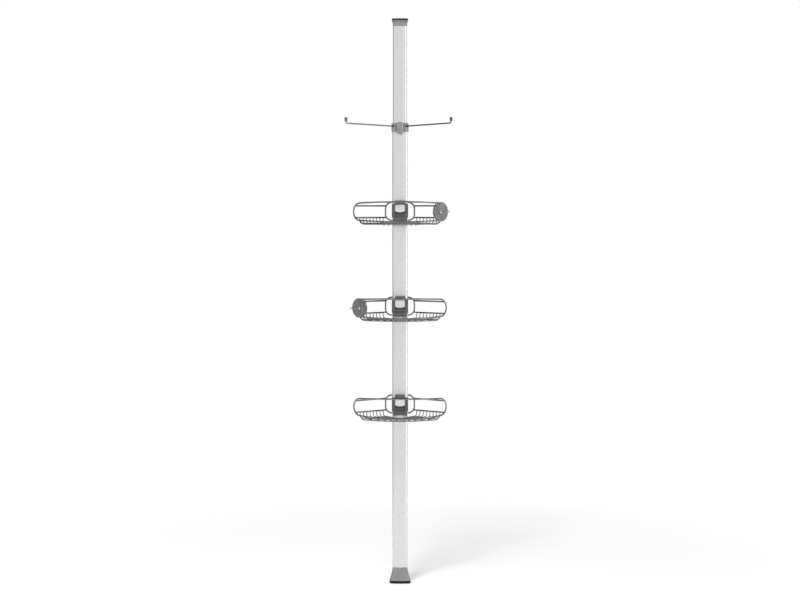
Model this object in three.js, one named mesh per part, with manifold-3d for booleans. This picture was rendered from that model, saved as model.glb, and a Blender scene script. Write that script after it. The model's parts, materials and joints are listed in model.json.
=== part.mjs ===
// Floor-to-ceiling shower caddy: a telescoping pole that carries two swinging towel arms
// and three wire baskets on sliding lever clamps.
// Millimetres, +Z up. The origin is on the pole's axis, at the underside of the floor pad.
// The baskets face -Y.
import * as THREE from 'three';
import { mergeVertices } from 'three/addons/utils/BufferGeometryUtils.js';
import Module from 'manifold-3d';

const wasm = await Module();
wasm.setup();

// ---- Driving dimensions -------------------------------------------------------------

const GAP = 0.3; // between pieces that touch
const OVERALL_HEIGHT = 2000;

// The pole: a flattened, bowed tube that takes a slimmer one.
const OUTER_TUBE = { width: 54, depth: 36, wall: 1.6, top: 1619 };
const INNER_TUBE = { width: 50, depth: 32, wall: 1.8, hiddenLength: 900 };
const FLOOR_PAD = { width: 74, depth: 56, height: 8 };
const FOOT = { width: 72, depth: 54, height: 47, plugLength: 32 };
const CEILING_PAD = { width: 57, depth: 42, height: 5.5 };
const TOP_CAP = { width: 57, depth: 41, height: 19.2, stemLength: 60 };
const TENSION_SPRING = { radius: 10, wire: 2.6, turns: 6, length: 120 };

// The towel-arm collar at the joint of the two tubes.
const COLLAR = { width: 60.5, front: -34, back: 22, bottom: 1604, top: 1634 };
const LEVER_RECESS = { halfWidth: 15.2, back: -22.5 };
const COLLAR_LEVER = { width: 25.6, bottom: 1595.5, top: 1637, pivotY: -27, pivotZ: 1607, barrel: 4 };
const HEIGHT_SHOE = { halfWidth: 10, front: -22.2, bottom: 1621.6, top: 1631.2 };
const PIN_RADIUS = 1.5;
const PIN_LENGTH = 36;
const ARM = { reach: 200, wire: 2.6, pivotX: 22.3, pivotY: -27, height: 1623, rise: 5 };
const ARM_PIVOT = { radius: 2.8, below: 16, above: 6 };
const ARM_SWING = { left: 35, right: 40 }; // degrees forward of straight out
const ARM_CAP = { radius: 5.2, length: 13, rise: 7.3 };

// Each basket is built with z = 0 at the top of its rear loop.
const SHELF_HEIGHTS = { lower: 672, middle: 1021.5, upper: 1358.5 };
const FRAME_WIRE = 2.7;
const FLOOR_WIRE = 1.5;
const LOOP = { halfWidth: 51.3, y: 24, height: 69.2, corner: 22 };
const RING = { radius: 200, halfAngle: Math.PI / 4, front: -126, rise: 4, dip: 5, endRadius: 30.3 };
const RING_MIDDLE_Z = -35.5;
const BACK_RAILS_Z = [-15, -56.3];
const FLOOR_Z = -76;
const FLOOR_EDGE = { z: -79, radius: 2 };
const FLOOR_WIRES = { first: 60, pitch: 11.6, count: 8 };
const DISH_OPENING = { halfWidth: 62, back: -54 };
const DISH = { halfWidth: 67, back: -50, front: -108, rimZ: -72.3, rim: 1.8, depth: 12.2, wires: 8 };

// The sliding lever clamp, in the basket's own heights.
const CLAMP = { width: 58, front: -31, back: 18, top: 3.5, bottom: -68.5 };
const CLAMP_NECK = { top: 17.9, bottom: 24.4 }; // half-widths above and below the side frames
const CLAMP_BACK = { neck: 26, rear: 31.7, bottom: -72.5 };
const CLAMP_LEVER = { width: 34.8, pivotY: -25, pivotZ: -14, bottom: -38, barrel: 4 };
const CLAMP_PIN_LENGTH = 42;
const CLAMP_RECESS = { halfWidth: 17.8, back: -22.6, top: -7.2, bottom: -43 };
const CLAMP_FACE = { halfWidth: 17.2, y: -27.5, bottom: -56, ribs: [-47, -51.5] };
const CLAMP_SHOE = { halfWidth: 10.6, front: -22.2, bottom: -37.2, top: -19.4 };
const LEVER_PLATE = { width: 34, back: 4.3, thickness: 0.8, top: 3.3 };
const HOOK_CAP = { radius: 34.3, wall: 1, front: -3.9, back: 4, sheet: 0.9, lip: 2.6 };
const PEG = { radius: 3, flange: 6, length: 42, knob: 4.4 };

// ---- Materials ----------------------------------------------------------------------

function material(color, roughness, metalness) {
  return new THREE.MeshStandardMaterial({ color, roughness, metalness });
}

const anodised = () => material(0xdcdde0, 0.34, 0.9);
const polishedSteel = () => material(0xc9cbce, 0.12, 1);
const brushedSteel = () => material(0xb4b6ba, 0.32, 1);
const greyPlastic = () => material(0x96989c, 0.5, 0);
const darkPlastic = () => material(0x4b4d51, 0.55, 0);
const blackRubber = () => material(0x17181a, 0.85, 0);
const springSteel = () => material(0x8b8d92, 0.35, 1);

// ---- Solids -------------------------------------------------------------------------

function toSolid(geometry) {
  const plain = geometry.clone();
  plain.deleteAttribute('normal');
  plain.deleteAttribute('uv');
  const merged = mergeVertices(plain, 1e-4);
  return new wasm.Manifold(new wasm.Mesh({
    numProp: 3,
    vertProperties: new Float32Array(merged.attributes.position.array),
    triVerts: new Uint32Array(merged.index.array),
  }));
}

function toGeometry(solid) {
  const mesh = solid.getMesh();
  const geometry = new THREE.BufferGeometry();
  geometry.setAttribute('position', new THREE.BufferAttribute(mesh.vertProperties, 3));
  geometry.setIndex(new THREE.BufferAttribute(mesh.triVerts, 1));
  geometry.computeVertexNormals();
  return geometry;
}

function union(solids) {
  return solids.reduce((joined, solid) => joined.add(solid));
}

// A box between two opposite corners.
function box(low, high) {
  const size = high.map((value, axis) => value - low[axis]);
  const middle = high.map((value, axis) => (value + low[axis]) / 2);
  return toSolid(new THREE.BoxGeometry(...size).translate(...middle));
}

// A cylinder along X, Y or Z about a centre.
function cylinder(radius, length, axis, centre, sides = 20) {
  const geometry = new THREE.CylinderGeometry(radius, radius, length, sides);
  if (axis === 'x') geometry.rotateZ(Math.PI / 2);
  if (axis === 'z') geometry.rotateX(Math.PI / 2);
  return toSolid(geometry.translate(...centre));
}

// A flat outline raised from z = bottom to z = top.
function prism(shape, bottom, top, curveSegments = 5) {
  const options = { depth: top - bottom, bevelEnabled: false, curveSegments };
  return new THREE.ExtrudeGeometry(shape, options).translate(0, 0, bottom);
}

// A path with a section at each of its vertices.
class BentPath extends THREE.Curve {
  constructor(vertices) {
    super();
    this.vertices = vertices.map((vertex) => new THREE.Vector3(...vertex));
    this.segments = vertices.length - 1;
  }

  getPoint(t, target = new THREE.Vector3()) {
    const index = Math.min(Math.floor(t * this.segments + 1e-6), this.segments - 1);
    const along = t * this.segments - index;
    return target.lerpVectors(this.vertices[index], this.vertices[index + 1], along);
  }

  getPointAt(u, target) {
    return this.getPoint(u, target);
  }

  getTangentAt(u, target = new THREE.Vector3()) {
    const index = Math.round(u * this.segments);
    const closed = this.vertices[0].distanceTo(this.vertices[this.segments]) < 1e-6;
    const before = index > 0 ? index - 1 : (closed ? this.segments - 1 : 0);
    const after = index < this.segments ? index + 1 : (closed ? 1 : this.segments);
    return target.subVectors(this.vertices[after], this.vertices[before]).normalize();
  }
}

function wire(vertices, radius, sides = radius > 2.5 ? 6 : 4) {
  const section = new THREE.Shape().absarc(0, 0, radius, 0, 2 * Math.PI);
  const path = new BentPath(vertices);
  const options = { steps: path.segments, extrudePath: path, curveSegments: sides / 2 };
  return toSolid(new THREE.ExtrudeGeometry(section, options));
}

function closedWire(vertices, radius, sides = 6) {
  const path = new BentPath([...vertices, vertices[0]]);
  return toSolid(new THREE.TubeGeometry(path, path.segments, radius, sides, true));
}

// ---- Outlines -----------------------------------------------------------------------

// The pole's section: bowed front and back, rounded corners.
function poleOutline(width, depth, bow = 2.5, corner = 9) {
  const x = width / 2;
  const y = depth / 2;
  const round = Math.min(corner, x - 2, y - bow - 2);
  const shape = new THREE.Shape();
  shape.moveTo(-x + round, -y + bow);
  shape.quadraticCurveTo(0, -y - bow, x - round, -y + bow);
  shape.quadraticCurveTo(x, -y + bow + 0.5, x, -y + bow + round);
  shape.lineTo(x, y - bow - round);
  shape.quadraticCurveTo(x, y - bow - 0.5, x - round, y - bow);
  shape.quadraticCurveTo(0, y + bow, -x + round, y - bow);
  shape.quadraticCurveTo(-x, y - bow - 0.5, -x, y - bow - round);
  shape.lineTo(-x, -y + bow + round);
  shape.quadraticCurveTo(-x, -y + bow + 0.5, -x + round, -y + bow);
  return shape;
}

function roundedRectangle(left, bottom, right, top, radius) {
  const shape = new THREE.Shape();
  shape.absarc(right - radius, bottom + radius, radius, -Math.PI / 2, 0);
  shape.absarc(right - radius, top - radius, radius, 0, Math.PI / 2);
  shape.absarc(left + radius, top - radius, radius, Math.PI / 2, Math.PI);
  shape.absarc(left + radius, bottom + radius, radius, Math.PI, 1.5 * Math.PI);
  return shape;
}

// The pole's section raised between two heights.
function poleSolid(width, depth, bottom, top) {
  return toSolid(prism(poleOutline(width, depth), bottom, top));
}

function tubeSolid({ width, depth, wall }, bottom, top) {
  const bore = poleSolid(width - 2 * wall, depth - 2 * wall, bottom - 1, top + 1);
  return poleSolid(width, depth, bottom, top).subtract(bore);
}

// A pole-shaped body whose section grows from its narrow end to its wide end.
// power 1 is a straight flare; a higher one is hollow-sided.
function flaredSolid(narrow, wide, narrowZ, wideZ, power) {
  const rings = power === 1 ? 1 : 3;
  const options = { depth: 1, steps: rings, bevelEnabled: false, curveSegments: 5 };
  const unit = new THREE.ExtrudeGeometry(poleOutline(wide.width, wide.depth), options);
  const position = unit.attributes.position;
  for (let i = 0; i < position.count; i++) {
    const along = position.getZ(i);
    const share = along ** power;
    const scaleX = THREE.MathUtils.lerp(narrow.width / wide.width, 1, share);
    const scaleY = THREE.MathUtils.lerp(narrow.depth / wide.depth, 1, share);
    const z = THREE.MathUtils.lerp(narrowZ, wideZ, along);
    position.setXYZ(i, position.getX(i) * scaleX, position.getY(i) * scaleY, z);
  }
  // A flare that widens downwards comes out mirrored, so its faces are turned back.
  if (wideZ < narrowZ) {
    for (let i = 0; i < position.count; i += 3) {
      const first = new THREE.Vector3().fromBufferAttribute(position, i);
      const last = new THREE.Vector3().fromBufferAttribute(position, i + 2);
      position.setXYZ(i, last.x, last.y, last.z);
      position.setXYZ(i + 2, first.x, first.y, first.z);
    }
  }
  return toSolid(unit);
}

// ---- The assembled group ------------------------------------------------------------

const group = new THREE.Group();

function addMesh(parent, name, solid, look, position = [0, 0, 0]) {
  const mesh = new THREE.Mesh(toGeometry(solid), look);
  mesh.name = name;
  mesh.position.set(...position);
  parent.add(mesh);
  return mesh;
}

// ---- The pole -----------------------------------------------------------------------

const footTop = FLOOR_PAD.height + GAP + FOOT.height;
const tubeBottom = footTop + GAP;
const ceilingPadBottom = OVERALL_HEIGHT - CEILING_PAD.height;
const capTop = ceilingPadBottom - GAP;
const capBottom = capTop - TOP_CAP.height;
const innerTubeTop = capBottom - GAP;
const innerTubeBottom = OUTER_TUBE.top - INNER_TUBE.hiddenLength;

// What fits loosely inside a tube.
function boreSize(tube, clearance = GAP) {
  const inset = 2 * (tube.wall + clearance);
  return { width: tube.width - inset, depth: tube.depth - inset };
}

function buildPole() {
  const outerBore = boreSize(OUTER_TUBE);
  const innerBore = boreSize(INNER_TUBE);

  const { width, depth } = FLOOR_PAD;
  addMesh(group, 'foot_pad', poleSolid(width, depth, 0, FLOOR_PAD.height), blackRubber());

  const neck = { width: OUTER_TUBE.width - 2, depth: OUTER_TUBE.depth - 2 };
  const flare = flaredSolid(neck, FOOT, footTop, FLOOR_PAD.height + GAP, 1);
  const plugTop = footTop + FOOT.plugLength;
  const plug = poleSolid(outerBore.width, outerBore.depth, footTop - 1, plugTop);
  addMesh(group, 'foot', flare.add(plug), greyPlastic());

  addMesh(group, 'outer_tube', tubeSolid(OUTER_TUBE, tubeBottom, OUTER_TUBE.top), anodised());
  addMesh(group, 'inner_tube', tubeSolid(INNER_TUBE, innerTubeBottom, innerTubeTop), anodised());

  // The glide is the flange and plug that centre the inner tube in the outer one.
  const glideBottom = innerTubeBottom - GAP - 20;
  const flange = poleSolid(outerBore.width, outerBore.depth, glideBottom, innerTubeBottom - GAP);
  const glidePlug = poleSolid(innerBore.width, innerBore.depth, innerTubeBottom - 1, innerTubeBottom + 18);
  addMesh(group, 'inner_tube_glide', flange.add(glidePlug), darkPlastic());

  const capNeck = { width: INNER_TUBE.width, depth: INNER_TUBE.depth };
  const cap = flaredSolid(capNeck, TOP_CAP, capBottom, capTop, 1.8);
  const stemBottom = capBottom - TOP_CAP.stemLength;
  const stem = poleSolid(innerBore.width, innerBore.depth, stemBottom, capBottom + 1);
  addMesh(group, 'top_cap', cap.add(stem), greyPlastic());
  const pad = poleSolid(CEILING_PAD.width, CEILING_PAD.depth, ceilingPadBottom, OVERALL_HEIGHT);
  addMesh(group, 'ceiling_pad', pad, blackRubber());

  const springTop = stemBottom - GAP;
  const springBottom = springTop - TENSION_SPRING.length;
  addMesh(group, 'tension_spring', springSolid(springBottom, springTop), springSteel());
  const seatTop = springBottom - GAP;
  const seat = poleSolid(innerBore.width, innerBore.depth, seatTop - 14, seatTop);
  addMesh(group, 'spring_seat', seat, darkPlastic());
}

function springSolid(bottom, top) {
  const stepsPerTurn = 10;
  const { radius, wire: wireWidth, turns } = TENSION_SPRING;
  const wireRadius = wireWidth / 2;
  const vertices = [];
  for (let i = 0; i <= turns * stepsPerTurn; i++) {
    const angle = (2 * Math.PI * i) / stepsPerTurn;
    const rise = (i / (turns * stepsPerTurn)) * (top - bottom - 2 * wireWidth);
    vertices.push([radius * Math.cos(angle), radius * Math.sin(angle), bottom + wireWidth + rise]);
  }
  return wire(vertices, wireRadius);
}

// ---- The towel-arm collar -----------------------------------------------------------

function collarSolid() {
  const { width, front, back, bottom, top } = COLLAR;
  const cornerRadius = 9;
  const edgeRadius = 4;
  const outline = roundedRectangle(-width / 2, front, width / 2, back, cornerRadius);
  const frontFace = roundedRectangle(-width / 2, bottom, width / 2, top, edgeRadius);
  const lowerBore = poleSolid(OUTER_TUBE.width + 2 * GAP, OUTER_TUBE.depth + 2 * GAP,
    bottom - 1, OUTER_TUBE.top + GAP);
  const upperBore = poleSolid(INNER_TUBE.width + 2 * GAP, INNER_TUBE.depth + 2 * GAP, bottom, top + 1);
  const leverRecess = box(
    [-LEVER_RECESS.halfWidth, front - 1, bottom - 1],
    [LEVER_RECESS.halfWidth, LEVER_RECESS.back, top + 1],
  );
  const shoeWindow = box(
    [-HEIGHT_SHOE.halfWidth - 0.4, LEVER_RECESS.back - 0.5, HEIGHT_SHOE.bottom - 0.4],
    [HEIGHT_SHOE.halfWidth + 0.4, -14, HEIGHT_SHOE.top + 0.4],
  );
  const { pivotY, pivotZ } = COLLAR_LEVER;
  const pinHole = cylinder(PIN_RADIUS + GAP, PIN_LENGTH + 1, 'x', [0, pivotY, pivotZ], 12);
  let collar = toSolid(prism(outline, bottom, top))
    .intersect(toSolid(prism(frontFace, -60, 60).rotateX(Math.PI / 2)))
    .subtract(lowerBore)
    .subtract(upperBore)
    .subtract(leverRecess)
    .subtract(shoeWindow)
    .subtract(pinHole);
  for (const side of [-1, 1]) {
    const holeBottom = bottom - 1;
    const holeTop = ARM.height + ARM_PIVOT.above + 2;
    const pivotHole = cylinder(ARM_PIVOT.radius + GAP, holeTop - holeBottom, 'z',
      [side * ARM.pivotX, ARM.pivotY, (holeTop + holeBottom) / 2], 16);
    const near = side * (ARM.pivotX - 3.5);
    const far = side * (width / 2 + 1);
    const swingSlot = box(
      [Math.min(near, far), front - 1, ARM.height - 4],
      [Math.max(near, far), -22, ARM.height + 4],
    );
    collar = collar.subtract(pivotHole).subtract(swingSlot);
  }
  return collar;
}

// The height lever: a bulging plate with rounded ends, hinged near its foot.
function collarLeverSolid() {
  const { width, bottom, top, pivotZ, barrel } = COLLAR_LEVER;
  const half = width / 2;
  const low = bottom - pivotZ;
  const high = top - pivotZ;
  const arch = 3.5;
  const face = new THREE.Shape();
  face.moveTo(-half, low + arch);
  face.quadraticCurveTo(0, low - arch, half, low + arch);
  face.lineTo(half, high - arch);
  face.quadraticCurveTo(0, high + arch, -half, high - arch);
  face.closePath();
  const faceSolid = toSolid(prism(face, -20, 20, 8).rotateX(Math.PI / 2));

  const bulge = new THREE.Shape();
  bulge.moveTo(-half, barrel);
  bulge.lineTo(-half, -5.5);
  bulge.quadraticCurveTo(0, -14, half, -5.5);
  bulge.lineTo(half, barrel);
  bulge.closePath();
  const plan = toSolid(prism(bulge, low - 2, high + 2, 8));
  const tailRelief = box([-half - 1, -3, low - 3], [half + 1, barrel + 1, 0]);
  const pinHole = cylinder(PIN_RADIUS + GAP, width + 2, 'x', [0, 0, 0], 12);
  return plan
    .intersect(faceSolid)
    .subtract(tailRelief)
    .add(cylinder(barrel, width, 'x', [0, 0, 0], 16))
    .subtract(pinHole);
}

// A towel arm in its own frame: pivot axis at x = y = 0, pointing along +X.
function armSolid() {
  const { reach, wire: radius, rise } = ARM;
  const bend = 7;
  const bendSteps = 4;
  const vertices = [[0, 0, 0], [reach - bend, 0, rise]];
  for (let i = 1; i <= bendSteps; i++) {
    const angle = (i / bendSteps) * (Math.PI / 2);
    vertices.push([reach - bend + bend * Math.sin(angle), 0, rise + bend * (1 - Math.cos(angle))]);
  }
  vertices.push([reach, 0, rise + ARM_CAP.rise + ARM_CAP.length - 5]);
  const { radius: pinRadius, below, above } = ARM_PIVOT;
  const pin = cylinder(pinRadius, above + below, 'z', [0, 0, (above - below) / 2], 16);
  return wire(vertices, radius, 10).add(pin);
}

function armCapSolid() {
  const { radius, length } = ARM_CAP;
  const edge = 2;
  const edgeSteps = 4;
  const profile = [new THREE.Vector2(0, 0), new THREE.Vector2(radius - 1, 0), new THREE.Vector2(radius, 1)];
  for (let i = 0; i <= edgeSteps; i++) {
    const angle = (i / edgeSteps) * (Math.PI / 2);
    profile.push(new THREE.Vector2(
      radius - edge + edge * Math.cos(angle),
      length - edge + edge * Math.sin(angle),
    ));
  }
  profile.push(new THREE.Vector2(0, length));
  const outside = toSolid(new THREE.LatheGeometry(profile, 20).rotateX(Math.PI / 2));
  const socketDepth = length - 4;
  return outside.subtract(cylinder(ARM.wire + GAP, 2 * socketDepth, 'z', [0, 0, 0], 12));
}

function buildCollar() {
  addMesh(group, 'towel_collar', collarSolid(), greyPlastic());
  const pivot = [0, COLLAR_LEVER.pivotY, COLLAR_LEVER.pivotZ];
  addMesh(group, 'height_lever', collarLeverSolid(), greyPlastic(), pivot);
  const pin = cylinder(PIN_RADIUS, PIN_LENGTH, 'x', [0, 0, 0], 12);
  addMesh(group, 'height_lever_pin', pin, springSteel(), pivot);
  const { halfWidth, front, bottom, top } = HEIGHT_SHOE;
  const shoe = box([-halfWidth, front, bottom], [halfWidth, -INNER_TUBE.depth / 2 - GAP - 0.1, top]);
  addMesh(group, 'height_shoe', shoe, blackRubber());

  for (const [name, side] of [['left', -1], ['right', 1]]) {
    const swing = THREE.MathUtils.degToRad(ARM_SWING[name]);
    const arm = new THREE.Group();
    arm.position.set(side * ARM.pivotX, ARM.pivotY, ARM.height);
    arm.rotation.z = side > 0 ? -swing : Math.PI + swing;
    group.add(arm);
    addMesh(arm, `towel_arm_${name}`, armSolid(), polishedSteel());
    const capPlace = [ARM.reach, 0, ARM.rise + ARM_CAP.rise];
    addMesh(arm, `arm_cap_${name}`, armCapSolid(), darkPlastic(), capPlace);
  }
}

// ---- The baskets --------------------------------------------------------------------

const ringCentreY = RING.front + RING.radius;

// A point on the front rail's bow, at an angle from straight ahead.
function bowPoint(angle, z) {
  return [RING.radius * Math.sin(angle), ringCentreY - RING.radius * Math.cos(angle), z];
}

// A point on an upright half-round end: side is -1 or 1, angle 90 is its top.
function endPoint(side, angle) {
  const [x, y] = bowPoint(side * RING.halfAngle, 0);
  const out = RING.endRadius * Math.cos(angle);
  return [
    x + side * out * Math.cos(RING.halfAngle),
    y + out * Math.sin(RING.halfAngle),
    RING_MIDDLE_Z + RING.endRadius * Math.sin(angle),
  ];
}

// The closed front ring: top rail, right end, bottom rail, left end.
function ringVertices() {
  const railSteps = 12;
  const endSteps = 7;
  const vertices = [];
  const rail = (direction, offset, bend) => {
    for (let i = 0; i < railSteps; i++) {
      const angle = direction * RING.halfAngle * ((2 * i) / railSteps - 1);
      vertices.push(bowPoint(angle, RING_MIDDLE_Z + offset + bend * Math.cos(2 * angle)));
    }
  };
  const end = (side) => {
    for (let i = 0; i < endSteps; i++) {
      const angle = side * (Math.PI / 2 - (Math.PI * i) / endSteps);
      vertices.push(endPoint(side, angle));
    }
  };
  rail(1, RING.endRadius, RING.rise);
  end(1);
  rail(-1, -RING.endRadius, -RING.dip);
  end(-1);
  return vertices;
}

// The upright loop that the clamp holds behind the pole.
function loopVertices() {
  const { halfWidth, y, height, corner } = LOOP;
  const top = -FRAME_WIRE;
  const bottom = -height + FRAME_WIRE;
  const steps = 4;
  const centres = [
    [halfWidth - corner, top - corner],
    [-halfWidth + corner, top - corner],
    [-halfWidth + corner, bottom + corner],
    [halfWidth - corner, bottom + corner],
  ];
  const vertices = [];
  centres.forEach(([x, z], quarter) => {
    for (let i = 0; i <= steps; i++) {
      const angle = (Math.PI / 2) * (quarter + i / steps);
      vertices.push([x + corner * Math.cos(angle), y, z + corner * Math.sin(angle)]);
    }
  });
  return vertices;
}

// Where a back rail meets the half-round end at the rail's height.
function railEnd(side, z) {
  return endPoint(side, Math.asin((z - RING_MIDDLE_Z) / RING.endRadius));
}

function basketFrameSolid() {
  const pieces = [closedWire(ringVertices(), FRAME_WIRE), closedWire(loopVertices(), FRAME_WIRE)];
  for (const side of [-1, 1]) {
    for (const z of BACK_RAILS_Z) {
      const start = [side * LOOP.halfWidth, LOOP.y, z];
      pieces.push(wire([start, railEnd(side, z)], FRAME_WIRE));
    }
  }
  return union(pieces);
}

// The floor's front edge wire follows the bow below the ring and rises at each end to the
// ring's underside.
function floorEdgeVertices() {
  const steps = 16;
  const reach = RING.halfAngle * 0.98;
  const endZ = RING_MIDDLE_Z - RING.endRadius - FRAME_WIRE - FLOOR_EDGE.radius - GAP;
  const vertices = [bowPoint(-reach, endZ)];
  for (let i = 0; i <= steps; i++) {
    const angle = reach * 0.94 * ((2 * i) / steps - 1);
    vertices.push(bowPoint(angle, FLOOR_EDGE.z));
  }
  vertices.push(bowPoint(reach, endZ));
  return vertices;
}

// How far a floor wire runs from its start before it meets the front edge, the middle line
// or the edge of the soap dish's opening.
function floorWireReach(x, y, directionX, directionY, hasDish) {
  const toCentreY = y - ringCentreY;
  const along = x * directionX + toCentreY * directionY;
  const offset = x * x + toCentreY * toCentreY - RING.radius ** 2;
  let reach = -along + Math.sqrt(along * along - offset);
  reach = Math.min(reach, -x / directionX);
  if (hasDish) {
    const toSide = (Math.sign(x) * DISH_OPENING.halfWidth - x) / directionX;
    const toBack = (DISH_OPENING.back - y) / directionY;
    reach = Math.min(reach, Math.max(toSide, toBack));
  }
  return reach;
}

function basketFloorSolid(hasDish) {
  const pieces = [wire(floorEdgeVertices(), FLOOR_EDGE.radius, 6)];
  const railTop = BACK_RAILS_Z[1] - FRAME_WIRE - GAP - 0.1;
  for (const side of [-1, 1]) {
    const [endX, endY] = railEnd(side, BACK_RAILS_Z[1]);
    const railX = endX - side * LOOP.halfWidth;
    const railY = endY - LOOP.y;
    const railLength = Math.hypot(railX, railY);
    const directionX = (side * railY) / railLength;
    const directionY = (-side * railX) / railLength;
    for (let i = 0; i < FLOOR_WIRES.count; i++) {
      const x = side * (FLOOR_WIRES.first + FLOOR_WIRES.pitch * i);
      const y = LOOP.y + (railY * (x - side * LOOP.halfWidth)) / railX;
      const reach = floorWireReach(x, y, directionX, directionY, hasDish);
      const at = (distance, z) => [x + directionX * distance, y + directionY * distance, z];
      pieces.push(wire([
        at(0, railTop), at(1, FLOOR_Z + 9), at(5, FLOOR_Z + 3), at(12, FLOOR_Z), at(reach, FLOOR_Z),
      ], FLOOR_WIRE));
    }
  }
  if (hasDish) {
    const { halfWidth, back } = DISH_OPENING;
    const sideAngle = Math.asin(halfWidth / RING.radius);
    pieces.push(wire([
      bowPoint(-sideAngle, FLOOR_Z), [-halfWidth, back - 1.5, FLOOR_Z], [-halfWidth + 1.5, back, FLOOR_Z],
      [halfWidth - 1.5, back, FLOOR_Z], [halfWidth, back - 1.5, FLOOR_Z], bowPoint(sideAngle, FLOOR_Z),
    ], FLOOR_WIRE));
  } else {
    pieces.push(wire([[0, -50, FLOOR_Z], [0, RING.front, FLOOR_Z]], FLOOR_WIRE));
  }
  return union(pieces);
}

// A lift-out wire dish: an oval rim that rests on the floor wires round the opening, with
// wires that hang through it from back to front.
function soapDishSolid() {
  const { halfWidth, back, front, rimZ, rim: rimRadius, depth, wires } = DISH;
  const round = 12;
  const roundSteps = 3;
  const rim = [];
  const centres = [
    [halfWidth - round, back - round], [-halfWidth + round, back - round],
    [-halfWidth + round, front + round], [halfWidth - round, front + round],
  ];
  centres.forEach(([x, y], quarter) => {
    for (let i = 0; i <= roundSteps; i++) {
      const angle = (Math.PI / 2) * (quarter + i / roundSteps);
      rim.push([x + round * Math.cos(angle), y + round * Math.sin(angle), rimZ]);
    }
  });
  const pieces = [closedWire(rim, rimRadius)];
  const low = rimZ - depth;
  const outermost = halfWidth - 11;
  for (let i = 0; i < wires; i++) {
    const x = outermost * ((2 * i) / (wires - 1) - 1);
    pieces.push(wire([
      [x, back, rimZ], [x, back - 7, rimZ], [x, back - 10, low + 3], [x, back - 16, low],
      [x, front + 15, low], [x, front + 8, low + 3], [x, front, rimZ],
    ], FLOOR_WIRE));
  }
  return union(pieces);
}

// ---- The clamps ---------------------------------------------------------------------

// The clamp's outline from the front: side frames between a narrow top and a narrow foot.
function clampOutline(topNeck, bottomNeck, bottom) {
  const { width, top } = CLAMP;
  const half = width / 2;
  const shoulder = -7;
  const ankle = -57;
  const round = 7;
  const face = new THREE.Shape();
  face.moveTo(-topNeck, top);
  face.lineTo(-topNeck, shoulder);
  face.lineTo(-half + round, shoulder);
  face.quadraticCurveTo(-half, shoulder, -half, shoulder - round);
  face.lineTo(-half, ankle + round);
  face.quadraticCurveTo(-half, ankle, -bottomNeck, ankle);
  face.lineTo(-bottomNeck, bottom + 3);
  face.quadraticCurveTo(-bottomNeck, bottom, -bottomNeck + 3, bottom);
  face.lineTo(bottomNeck - 3, bottom);
  face.quadraticCurveTo(bottomNeck, bottom, bottomNeck, bottom + 3);
  face.lineTo(bottomNeck, ankle);
  face.quadraticCurveTo(half, ankle, half, ankle + round);
  face.lineTo(half, shoulder - round);
  face.quadraticCurveTo(half, shoulder, half - round, shoulder);
  face.lineTo(topNeck, shoulder);
  face.lineTo(topNeck, top);
  face.closePath();
  return toSolid(prism(face, -60, 60).rotateX(Math.PI / 2));
}

function clampBodySolid() {
  const { width, front, back, top, bottom } = CLAMP;
  const half = width / 2;
  const plan = toSolid(prism(roundedRectangle(-half, front, half, back + 12, 9), bottom, top));
  const bore = poleSolid(OUTER_TUBE.width + 2 * GAP, OUTER_TUBE.depth + 2 * GAP, bottom - 1, top + 1);
  const { pivotY, pivotZ, barrel } = CLAMP_LEVER;
  const { halfWidth: reach, back: recessBack, top: recessTop, bottom: recessBottom } = CLAMP_RECESS;
  const { halfWidth: faceHalf, y: faceY, bottom: faceBottom, ribs } = CLAMP_FACE;
  const shoeWindow = box(
    [-CLAMP_SHOE.halfWidth - 0.4, recessBack - 1.4, CLAMP_SHOE.bottom - 0.4],
    [CLAMP_SHOE.halfWidth + 0.4, -15, CLAMP_SHOE.top + 0.4],
  );
  let body = plan
    .intersect(clampOutline(CLAMP_NECK.top, CLAMP_NECK.bottom, bottom))
    .subtract(box([-half - 1, back, bottom - 1], [half + 1, back + 20, top + 1]))
    .subtract(bore)
    .subtract(box([-reach, front - 1, recessBottom], [reach, recessBack, recessTop]))
    .subtract(cylinder(barrel + 0.4, 2 * reach, 'x', [0, pivotY, pivotZ], 16))
    .subtract(box([-faceHalf, front - 1, faceBottom], [faceHalf, faceY, recessBottom + 1]))
    .subtract(shoeWindow)
    .subtract(cylinder(PIN_RADIUS + GAP, CLAMP_PIN_LENGTH + 2, 'x', [0, pivotY, pivotZ], 12));
  for (const z of ribs) {
    body = body.add(box([-faceHalf, faceY - 1.4, z - 0.9], [faceHalf, faceY + 1, z + 0.9]));
  }
  return body;
}

// The rear half: a block with grooves that trap the loop's two level runs.
function clampBackSolid() {
  const { width, back, top } = CLAMP;
  const { neck, rear, bottom } = CLAMP_BACK;
  const half = width / 2;
  const front = back + GAP + 0.2;
  const block = toSolid(prism(roundedRectangle(-half, front - 12, half, rear, 8), bottom, top));
  let solid = block
    .intersect(clampOutline(neck, neck, bottom))
    .subtract(box([-half - 1, front - 20, bottom - 1], [half + 1, front, top + 1]));
  const groove = FRAME_WIRE + GAP;
  for (const z of [-FRAME_WIRE, -LOOP.height + FRAME_WIRE]) {
    solid = solid
      .subtract(box([-half - 1, front - 1, z - groove], [half + 1, LOOP.y, z + groove]))
      .subtract(cylinder(groove, width + 2, 'x', [0, LOOP.y, z], 12));
  }
  return solid;
}

// A straight-sided outline with a bowed lower edge.
function leverOutline(half, top, low) {
  const bow = 3;
  const face = new THREE.Shape();
  face.moveTo(-half, top);
  face.lineTo(-half, low + bow);
  face.quadraticCurveTo(0, low - bow, half, low + bow);
  face.lineTo(half, top);
  face.closePath();
  return face;
}

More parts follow.
